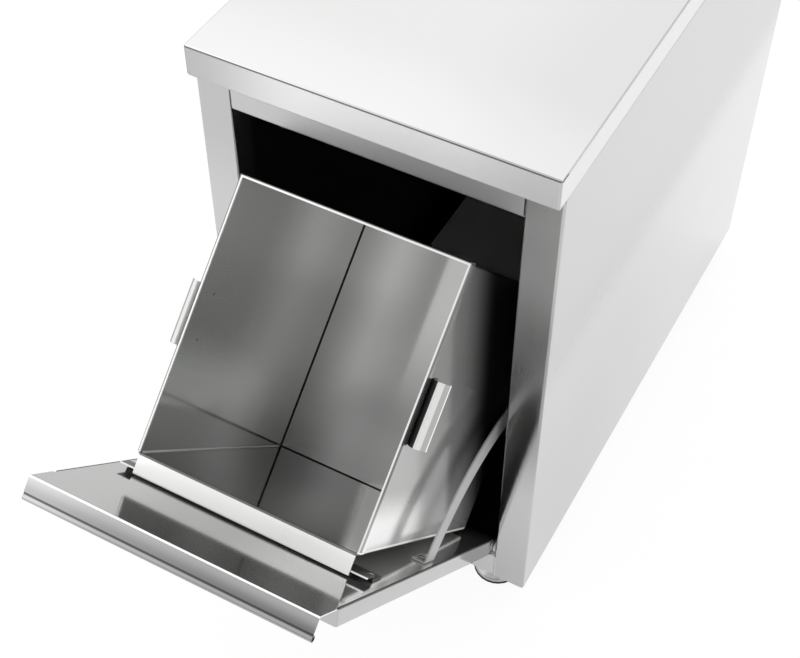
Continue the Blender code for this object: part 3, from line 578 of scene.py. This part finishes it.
def skin_steel(name, look):
    """Dull mirror of the door's inner skin with painted reflections; painted highlight on the lip's bend and
    side edges, painted shade in the crease and bead ends.
    """
    material, shader, vector, (x, y, z) = start_finish(name)
    lines = shader.lines(vector, "x", *BROAD_LINES)
    level = unevenness(lines, shader.noise(vector, *CLOUD), 0.04, 0.06)
    rise = door_rise(y, z)
    reach = door_reach(y, z)
    on_lip = reach > LIP_REACH
    at_side = abs(x) > SKIN_SIDE
    plane = (rise > SKIN_UNDER) * (reach < LIP_REACH)
    # Painted highlight on the bend of the lip and on the side edges of the skin.
    bend = on_lip * (rise > LIP_BEND[0]) * (rise < LIP_BEND[1])
    bright = bend.most(at_side * (rise > SKIN_UNDER))
    # Painted shade in the lip's crease and in the hollow ends of the bead.
    crease = (rise < CREASE[0]) * (rise > CREASE[1]) * on_lip
    hollow = (rise < CREASE[1]) * at_side
    # Painted reflections: the lip lighter at its left end, the mirror much lighter to the right and a little
    # darker in the middle.
    lip_shade = (1 - x.eased(*LIP_LEFT)) * 0.2 + x.eased(*LIP_RIGHT) * 0.08 + 0.60
    mirror_shade = x.eased(*SKIN_RIGHT) * 0.80 - x.eased(*SKIN_LEFT) * 0.10 + 0.88
    lip = shader.scale(tuple(look.tint), lip_shade)
    mirror = shader.scale(tuple(look.skin_tint), mirror_shade)
    colour = shader.mix(bright, shader.mix(plane, lip, mirror), grey(0.88))
    colour = shader.mix(crease * 0.75 + hollow * 0.95, colour, grey(0.01))
    colour = shader.scale(colour, level * 0.2 + 0.9)
    blur = (lines - 0.5) * 0.01 + look.door_roughness + bright * 0.3
    shader.surface(Base_Color=colour, Metallic=1 - plane * 0.06 - bright * 0.3, Roughness=blur)
    return material


def rail_steel(name):
    """Painted highlight on the edge that the bin hangs on; the rest of the rail is painted dark as the bin's
    shade.
    """
    material, shader, vector, (_, y, z) = start_finish(name)
    lines = shader.lines(vector, "x", *BROAD_LINES)
    colour = shader.mix(door_reach(y, z) > RAIL_EDGE_REACH, grey(0.04), HIGHLIGHT_STEEL)
    shader.surface(Base_Color=colour, Metallic=0.7, Roughness=0.3 + lines * 0.1)
    return material


def pan_steel(name, look):
    """Brushed tray of the door, with painted shade where it tucks under the skin."""
    material, shader, vector, (_, y, z) = start_finish(name)
    lines = shader.lines(vector, "x", *FINE_LINES)
    level = unevenness(lines, shader.noise(vector, *CLOUD), 0.10, 0.06)
    tuck = door_rise(y, z) > PAN_TUCK
    tray = shader.mix(level, scaled(look.tint, 0.70), scaled(look.tint, 0.94))
    blur = (lines - 0.5) * 0.04 + look.door_roughness + tuck * 0.3
    shader.surface(Base_Color=shader.mix(tuck, tray, grey(0.015)), Metallic=1 - tuck, Roughness=blur)
    return material


def handle_steel(name):
    """Folded strip painted in bands of light and shade: dark groove, black shade in the fold, highlight on
    the ridge, shade on the outer slope, highlight on the cut edge.
    """
    material, shader, vector, (x, _, _) = start_finish(name)
    lines = shader.lines(vector, "y", *BROAD_LINES)
    out = abs(x)
    on_left = x < 0
    colour = shader.mix(out > HANDLE_FOLD, grey(0.11), grey(0.004))
    colour = shader.mix(out > HANDLE_FLANK, colour, grey(0.09))
    ridge = shader.mix(on_left * (out < LEFT_RIDGE_END), RIDGE_LIGHT_STEEL, HIGHLIGHT_STEEL)
    colour = shader.mix(out > HANDLE_RIDGE - on_left * LEFT_RIDGE_WIDER, colour, ridge)
    colour = shader.mix(out > HANDLE_SLOPE, colour, SLOPE_SHADE_STEEL)
    colour = shader.mix(out > HANDLE_CUT, colour, grey(0.95))
    # Painted shade along the outer edge of the left handle.
    outline = on_left * (out > LEFT_OUTLINE[0]) * (out < LEFT_OUTLINE[1])
    colour = shader.mix(outline, colour, grey(0.02))
    colour = shader.scale(colour, lines * 0.1 + 0.95)
    shader.surface(Base_Color=colour, Metallic=0.5, Roughness=0.35 + lines * 0.04)
    return material


class BinZones:
    """Masks that tell the zones of the bin's sheet apart, and the place in the leaning bin."""

    def __init__(self, x, y, z):
        height = (z - BIN_CORNER[1]) * BIN_UP[1] + (y - BIN_CORNER[0]) * BIN_UP[0]
        depth = (y - BIN_CORNER[0]) * BIN_UP[1] - (z - BIN_CORNER[1]) * BIN_UP[0]
        across = abs(x)
        within = (across < BIN_WALL) * (depth > HALF_SHEET) * (depth < BIN_DEPTH - HALF_SHEET)
        self.height = height
        self.depth = depth
        self.bottom = height < BIN_BEND
        above = 1 - self.bottom
        self.left = (x < -WALL_FACE) * (x > -BIN_WALL) * above
        self.right = (x > WALL_FACE) * (x < BIN_WALL) * above
        self.front = (depth > HOOK_START) * (depth < BIN_BEND) * above
        self.outside = across > BIN_WALL
        self.lip = depth < HOOK_START
        top = (height > RIM_HEIGHT) * (1 - self.lip)
        self.hem = top * (across > HEM_SIDE).most(depth > HEM_BACK)
        self.rim = top - self.hem
        self.crease = (height > FOLD_HEIGHT) * (depth > HOOK_CREASE[0]) * (depth < HOOK_CREASE[1])
        self.fold = (x < -FOLD_SIDE) * (depth < FOLD_DEPTH) * within * above * (height < FOLD_HEIGHT)
        by_wall = (across > SEAM_SIDE).most(depth < SEAM_WIDTH).most(depth > BIN_DEPTH - SEAM_WIDTH)
        self.seam = by_wall * within * (height > HALF_SHEET) * (height < SEAM_WIDTH)
        under_handle = (depth > HANDLE_SHADOW[0]) * (depth < HANDLE_SHADOW[1])
        self.shadow = self.outside * (height > HANDLE_SHADOW_HEIGHT) * under_handle


def bin_shade(x, y, zones):
    """Painted light and shade on each zone of the bin: inner corners of the bottom nearly black, a darker
    hem, a shadow under each handle.
    """
    height = zones.height
    depth = zones.depth
    beyond = x.eased(*BOTTOM_RIGHT)
    bottom = depth.eased(*BOTTOM_BACK) * 0.54 + 0.54
    bottom = bottom * (1 - beyond * 0.28 + depth.eased(*BOTTOM_END) * (1 - beyond) * 0.2)
    bottom = bottom + (1 - depth.eased(*BOTTOM_FRONT)) * x.eased(*BOTTOM_FRONT_RIGHT) * 0.6
    front = (height.eased(*FRONT_UP) + 0.5) * (x.eased(*FRONT_RIGHT) * 0.2 + 0.5)
    left = (1.72 - depth.eased(*LEFT_BACK) * 0.92) * (height.eased(*LEFT_UP) * 0.55 + 0.68)
    outside = (1 - depth.eased(*OUTSIDE_BACK)) * (height.eased(*OUTSIDE_UP) * 0.75 + 0.22) + 0.84
    outside = outside * (1 - y.eased(*OUTSIDE_MOUTH) * 0.97)
    shade = zones.bottom * (bottom - 1) + zones.front * (front - 1) + zones.left * (left - 1)
    shade = (shade - zones.right * 0.22 + 1) * (1 + zones.outside * (outside - 1))
    return shade * (1 - zones.seam * 0.96) * (1 - zones.hem * 0.6) * (1 - zones.shadow * 0.75)


def bin_steel(name, look):
    """Bright sheet whose bottom is scuffed by use, with painted light and shade over its zones; its lip, rim
    and the fold at the front left corner carry a painted highlight, lightest at the left end of the lip.
    """
    material, shader, vector, (x, y, z) = start_finish(name)
    zones = BinZones(x, y, z)
    lines = shader.lines(vector, "x", *BROAD_LINES)
    level = unevenness(lines, shader.noise(vector, *CLOUD), 0.06, 0.06)
    glint = zones.front * (x - zones.height * GLINT_LEAN - GLINT_LEFT).eased(*GLINT_WIDTH)
    # Painted highlight on the lip, the rim and the fold at the front left corner; the rim's is a little
    # dimmer.
    bright = zones.lip.most(zones.rim).most(zones.fold)
    wall_colour = shader.scale(tuple(look.bin_tint), bin_shade(x, y, zones) * (level * 0.2 + 0.9))
    highlight_colour = shader.uneven(level, look.lip_highlight_tint, 0.05)
    colour = shader.scale(shader.mix(bright, wall_colour, highlight_colour), 1 - zones.rim * 0.2)
    colour = shader.mix(glint, colour, HIGHLIGHT_STEEL)
    # Painted dark line in the crease under the lip's hook.
    colour = shader.mix(zones.crease * 0.8, colour, grey(0.02))
    sides = zones.left * (look.side_roughness - look.bin_roughness)
    scuff = zones.bottom * (1 - zones.depth.eased(*BOTTOM_SCUFF))
    blur = (lines - 0.5) * 0.02 + look.bin_roughness + sides + zones.seam * 0.4
    blur = blur + bright * 0.15 + zones.outside * 0.06 + scuff * 0.2
    metal = 1 - zones.seam - zones.outside * 0.35 * (1 - zones.rim) - zones.rim * 0.5
    metal = metal - zones.fold * 0.3 - glint * 0.6 - zones.left.most(zones.right) * 0.06
    # Painted light: less metal towards the left end of the lip makes it lighter.
    metal = metal - zones.lip * (1 - x.eased(*BIN_LIP_LEFT_LIGHT)) * 0.5
    shader.surface(Base_Color=colour, Metallic=metal, Roughness=blur, Specular_Tint=grey(0.75))
    return material


def rubber_look(name, tint):
    """Grainy rubber or nylon."""
    material, shader, vector, _ = start_finish(name)
    grains = shader.noise(vector, *RUBBER_GRAINS)
    colour = shader.mix(grains, scaled(tint, 0.7), scaled(tint, 1.4))
    shader.surface(Base_Color=colour, Roughness=0.62 + grains * 0.25,
                   Normal=shader.bump(grains, *RUBBER_BUMP))
    return material


def bin_place(depth, height):
    """World y and z of a place in the leaning bin."""
    y = BIN_CORNER[0] + depth * BIN_UP[1] + height * BIN_UP[0]
    z = BIN_CORNER[1] - depth * BIN_UP[0] + height * BIN_UP[1]
    return y, z


def merged_mesh(node):
    """A copy of a CAD node's mesh, with its loose triangles joined and its flat faces made whole."""
    bm = bmesh.new()
    bm.from_mesh(frame["nodes"][node].data)
    bmesh.ops.remove_doubles(bm, verts=bm.verts, dist=MERGE_DISTANCE)
    bmesh.ops.dissolve_limit(bm, angle_limit=FLAT_TURN, verts=bm.verts, edges=bm.edges)
    return bm


def round_rims(bm, width):
    """Round the cut edges of a sheet, which turn by nearly a right angle, and leave its bends alone."""
    rims = [edge for edge in bm.edges
            if len(edge.link_faces) == 2 and edge.calc_face_angle_signed(0) > RIM_TURN]
    bmesh.ops.bevel(bm, geom=rims, offset=width, offset_type="OFFSET", affect="EDGES", segments=RIM_STEPS,
                    profile=0.5, clamp_overlap=True, material=-1)


def finish_piece(bm, name, material, node, stands_in=False):
    """Turn a bmesh into a piece with smooth bends that rides with a CAD node, or stands in for it."""
    mesh = bpy.data.meshes.new(name)
    for face in bm.faces:
        face.smooth = True
    bm.to_mesh(mesh)
    bm.free()
    mesh.materials.append(material)
    piece = bpy.data.objects.new(name, mesh)
    bpy.context.scene.collection.objects.link(piece)
    flat = piece.modifiers.new("flat faces", "WEIGHTED_NORMAL")
    flat.weight = FLAT_WEIGHT
    flat.keep_sharp = True
    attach(piece, NODE_BODY[node])
    if stands_in:
        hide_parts(node)


def dress_sheet(node, material, rim):
    """Stand in for a CAD sheet with one whose cut edges are rounded and whose bends are smooth."""
    bm = merged_mesh(node)
    round_rims(bm, rim)
    finish_piece(bm, node + "_sheet", material, node, stands_in=True)


def give_material(node, material):
    """Put a material on a CAD node that keeps its own mesh."""
    mesh = frame["nodes"][node].data
    mesh.materials.clear()
    mesh.materials.append(material)


class BINCABINET_OT_shell(bpy.types.Operator):
    """Dress the worktop, panels and rails of the cabinet"""

    bl_idname = "bincabinet.shell"
    bl_label = "Cabinet shell"

    def execute(self, context):
        look = context.scene.bin_steel
        left = cabinet_steel("left_side_steel", look, "z", side_inner_face, look.roughness, LEFT_MOUTH,
                             left_side_shade)
        right = cabinet_steel("right_side_steel", look, "z", side_inner_face, right_side_roughness,
                              RIGHT_MOUTH, right_side_shade)
        rail = cabinet_steel("rail_steel", look, "x", rail_inner_face, RAIL_ROUGHNESS, look.mouth_depth)
        back = cabinet_steel("back_steel", look, "z", back_inner_face, look.roughness, look.mouth_depth)
        dress_sheet("worktop", worktop_steel("worktop_steel", look), look.rim)
        dress_sheet("left_side_panel", left, look.rim)
        dress_sheet("right_side_panel", right, look.rim)
        dress_sheet("top_rail", rail, look.rim)
        dress_sheet("bottom_rail", rail, look.rim)
        self.add_rail_welds(rail)
        self.add_worktop_welds(right)
        dress_sheet("back_panel", back, look.rim)
        give_material("floor_panel", floor_look("floor_panel_steel", look))
        return {"FINISHED"}

    def add_rail_welds(self, steel):
        """Dressed welds between the bottom rail and the posts."""
        low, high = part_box("bottom_rail")
        size = (WELD_WIDTH, RAIL_WELD_THICKNESS, high[2] - low[2] - RAIL_WELD_SHORTER)
        place = (high[0] + RAIL_WELD_PLACE[0], low[1] + RAIL_WELD_PLACE[1], (low[2] + high[2]) / 2)
        self.add_weld_pair("bottom_rail_welds", steel, size, place, "bottom_rail")

    def add_worktop_welds(self, steel):
        """Dressed welds between the worktop's edge and the side panels."""
        low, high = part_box("right_side_panel")
        size = (WELD_WIDTH, high[1] - low[1] - TOP_WELD_SHORTER, TOP_WELD_HEIGHT)
        place = (high[0] - TOP_WELD_INSET, (low[1] + high[1]) / 2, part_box("worktop")[0][2])
        self.add_weld_pair("worktop_welds", steel, size, place, "right_side_panel")

    def add_weld_pair(self, name, steel, size, place, node):
        """A straight weld on the right and its twin on the left."""
        x, y, z = place
        bm = bmesh.new()
        for side in SIDES.values():
            move = Matrix.Translation((side * x, y, z))
            bmesh.ops.create_cube(bm, size=1.0, matrix=move @ Matrix.Diagonal((*size, 1)))
        finish_piece(bm, name, steel, node)


class BINCABINET_OT_door(bpy.types.Operator):
    """Dress the door's pan and skin, the bin rail and the stay arms"""

    bl_idname = "bincabinet.door"
    bl_label = "Door"

    def execute(self, context):
        look = context.scene.bin_steel
        self.dress_skin(look)
        dress_sheet("door_outer_pan", pan_steel("pan_steel", look), look.rim)
        dress_sheet("bin_rail", rail_steel("bin_rail_steel"), look.rim)
        arm = brushed_steel("arm_steel", scaled(look.tint, 0.78)[:3], roughness=0.42, grain=look.grain,
                            metal=0.4)
        for side in SIDES:
            dress_sheet("stay_arm_" + side, arm, look.rim)
        return {"FINISHED"}

    def dress_skin(self, look):
        """Stand in for the inner skin with one whose lip is a little longer and creased above its bead."""
        bm = merged_mesh("door_inner_skin")
        for vert in bm.verts:
            if vert.co.dot(DOOR_UPWARD) > LIP_ROOT and vert.co.dot(DOOR_INWARD) < STRETCH_BELOW:
                vert.co -= DOOR_INWARD * LIP_STRETCH
        for rise in (CREASE[0], CREASE_MIDDLE):
            self.cut_lip(bm, rise)
        for vert in bm.verts:
            in_crease = abs(vert.co.dot(DOOR_INWARD) - CREASE_MIDDLE) < 10 * CUT_DISTANCE
            if in_crease and self.on_lip(vert):
                vert.co -= DOOR_UPWARD * CREASE_DEPTH
        round_rims(bm, look.rim)
        finish_piece(bm, "door_inner_skin_sheet", skin_steel("skin_steel", look), "door_inner_skin",
                     stands_in=True)

    def on_lip(self, vert):
        """Whether a corner of the skin is past the bend of its lip."""
        return vert.co.dot(DOOR_UPWARD) > LIP_REACH

    def cut_lip(self, bm, rise):
        """Cut the lip across its whole width."""
        faces = [face for face in bm.faces if all(self.on_lip(vert) for vert in face.verts)]
        edges = dict.fromkeys(edge for face in faces for edge in face.edges)
        verts = dict.fromkeys(vert for face in faces for vert in face.verts)
        bmesh.ops.bisect_plane(bm, geom=[*verts, *edges, *faces], dist=CUT_DISTANCE,
                               plane_co=DOOR_INWARD * rise, plane_no=-DOOR_INWARD)


class BINCABINET_OT_bin(bpy.types.Operator):
    """Dress the lift-out bin and its handles"""

    bl_idname = "bincabinet.bin"
    bl_label = "Bin"

    def execute(self, context):
        look = context.scene.bin_steel
        dress_sheet("bin_body", bin_steel("bin_steel", look), look.rim)
        handle = handle_steel("handle_steel")
        for side in SIDES:
            dress_sheet("bin_handle_" + side, handle, look.rim)
        self.add_spot_welds(look)
        return {"FINISHED"}

    def add_spot_welds(self, look):
        """Two flat welds inside each wall hold the handle on."""
        bm = bmesh.new()
        turn = Matrix.Rotation(radians(90), 4, "Y")
        flatten = Matrix.Diagonal((SPOT_FLATNESS, 1, 1, 1))
        for side in SIDES.values():
            for depth in SPOT_DEPTHS:
                y, z = bin_place(depth, SPOT_HEIGHT)
                move = Matrix.Translation((side * SPOT_SIDE, y, z))
                bmesh.ops.create_uvsphere(bm, u_segments=SPOT_SEGMENTS[0], v_segments=SPOT_SEGMENTS[1],
                                          radius=SPOT_RADIUS, matrix=move @ flatten @ turn)
        weld = brushed_steel("weld_steel", scaled(look.bin_tint, 0.3)[:3], roughness=0.5, grain=0.05)
        finish_piece(bm, "bin_spot_welds", weld, "bin_body")


class BINCABINET_OT_fittings(bpy.types.Operator):
    """Dress the screws, rivets, feet, hinges, bumpers and buffers"""

    bl_idname = "bincabinet.fittings"
    bl_label = "Fittings"

    def execute(self, context):
        look = context.scene.bin_steel
        bright = brushed_steel("screw_steel", look.tint, roughness=0.2, grain=0.1)
        looks = {
            "black_rubber": rubber_look("black_rubber", RUBBER_BLACK),
            "white_nylon": rubber_look("white_nylon", NYLON_WHITE),
            "grey_foot": brushed_steel("foot_grey", FOOT_GREY, roughness=0.3, grain=0.1),
        }
        for node, slot in NODE_SLOT.items():
            if "_screw_" in node and slot == "bright_steel":
                self.dress_head(node, bright, look.rim, DOOR_INWARD, *SCREW_SOCKET)
            elif "_rivet_" in node:
                self.dress_head(node, bright, look.rim, BACKWARD, *RIVET_MIDDLE)
            elif node.split("_")[0] in SMALL_FITTINGS and node not in DRESSED:
                dress_sheet(node, looks.get(slot, bright), look.rim)
        return {"FINISHED"}

    def dress_head(self, node, material, rim, outward, inset, rise):
        """Stand in for a CAD screw or rivet with one whose head has a socket or a raised middle."""
        bm = merged_mesh(node)
        heads = [face for face in bm.faces if face.normal.dot(outward) > FACING]
        head = max(heads, key=lambda face: face.calc_center_median().dot(outward))
        bmesh.ops.inset_region(bm, faces=[head], thickness=inset, depth=rise, use_even_offset=True)
        round_rims(bm, rim)
        finish_piece(bm, node + "_head", material, node, stands_in=True)


class BINCABINET_OT_stage(bpy.types.Operator):
    """Set up the floor, the light and the camera"""

    bl_idname = "bincabinet.stage"
    bl_label = "Stage"

    def execute(self, context):
        setup = context.scene.bin_stage
        self.add_floor(context.scene, setup)
        self.add_world(context.scene)
        self.add_camera(context.scene, setup)
        context.scene.view_settings.view_transform = "Standard"
        return {"FINISHED"}

    def add_floor(self, scene, setup):
        """Pale floor that takes the object's shadow and looks white to the camera and in the steel."""
        bm = bmesh.new()
        bmesh.ops.create_grid(bm, x_segments=1, y_segments=1, size=setup.floor_size / 2)
        mesh = bpy.data.meshes.new("floor")
        bm.to_mesh(mesh)
        bm.free()
        floor = bpy.data.objects.new("floor", mesh)
        scene.collection.objects.link(floor)
        material = bpy.data.materials.new("floor_paper")
        shader = Shader(material)
        seen, mirrored = shader.rays()
        strength = mirrored * 0.1 + 1.02
        paper = shader.node("ShaderNodeBsdfDiffuse", None, {"Color": colour4(setup.floor_colour)})[0]
        glow = shader.node("ShaderNodeEmission", None, {"Color": WHITE, "Strength": strength})[0]
        sockets = {0: seen * 0.9 + mirrored * 0.6, 1: paper, 2: glow}
        mixed = shader.node("ShaderNodeMixShader", None, sockets)[0]
        shader.node("ShaderNodeOutputMaterial", None, {"Surface": mixed})
        mesh.materials.append(material)

    def add_world(self, scene):
        """White to the camera; an uneven studio sky, brightest above and behind, lights the steel."""
        world = bpy.data.worlds.new("studio")
        scene.world = world
        shader = Shader(world)
        seen, _ = shader.rays()
        direction = shader.node("ShaderNodeTexCoord")[0]
        x, y, z = shader.node("ShaderNodeSeparateXYZ", None, {0: direction})
        back = (y * SKY_BACK_AIM[0] + z * SKY_BACK_AIM[1]).eased(*SKY_BACK)
        far_right = x.eased(*SKY_FAR_RIGHT)
        far_left = (0 - x).eased(*SKY_FAR_LEFT)
        overhead = z.eased(*SKY_OVERHEAD) * (0 - y).eased(*SKY_AHEAD)
        dim_right = x.eased(*SKY_RIGHT) * (1 - z.eased(*SKY_RIGHT_TOP) * 0.8) * (1 - far_right)
        front = z.eased(*SKY_HIGH) * 0.58 - overhead * 0.50 + far_left * 0.8 + far_right * 0.5 + 0.45
        level = front * (1 - dim_right * 0.5) * (1 - back) + back * 1.5
        strength = seen * (1 - level) + level
        sky = shader.node("ShaderNodeBackground", None, {"Color": WHITE, "Strength": strength})[0]
        shader.node("ShaderNodeOutputWorld", None, {"Surface": sky})

    def add_camera(self, scene, setup):
        """Camera at the photograph's viewing angle."""
        camera = bpy.data.cameras.new("camera")
        camera.sensor_width = SENSOR_WIDTH
        camera.sensor_fit = "HORIZONTAL"
        camera.lens = setup.camera_lens
        camera.clip_start = CLIP_START
        stand = bpy.data.objects.new("camera", camera)
        stand.location = setup.camera_place
        stand.rotation_euler = (setup.camera_tilt, 0, setup.camera_turn)
        scene.collection.objects.link(stand)
        scene.camera = stand


OPERATORS = (
    BINCABINET_OT_shell,
    BINCABINET_OT_door,
    BINCABINET_OT_bin,
    BINCABINET_OT_fittings,
    BINCABINET_OT_stage,
)


class BINCABINET_PT_looks(bpy.types.Panel):
    """Lists the steps that dress the cabinet"""

    bl_idname = "BINCABINET_PT_looks"
    bl_label = "Bin Cabinet"
    bl_space_type = "VIEW_3D"
    bl_region_type = "UI"
    bl_category = "Bin Cabinet"

    def draw(self, context):
        for operator in OPERATORS:
            self.layout.operator(operator.bl_idname)


CLASSES = (SteelLook, StageSetup, *OPERATORS, BINCABINET_PT_looks)


def register():
    for one in CLASSES:
        bpy.utils.register_class(one)
    bpy.types.Scene.bin_steel = bpy.props.PointerProperty(type=SteelLook)
    bpy.types.Scene.bin_stage = bpy.props.PointerProperty(type=StageSetup)


def unregister():
    del bpy.types.Scene.bin_stage
    del bpy.types.Scene.bin_steel
    for one in reversed(CLASSES):
        bpy.utils.unregister_class(one)


def main():
    register()
    bpy.ops.bincabinet.shell()
    bpy.ops.bincabinet.door()
    bpy.ops.bincabinet.bin()
    bpy.ops.bincabinet.fittings()
    bpy.ops.bincabinet.stage()


if __name__ == "__main__":
    main()
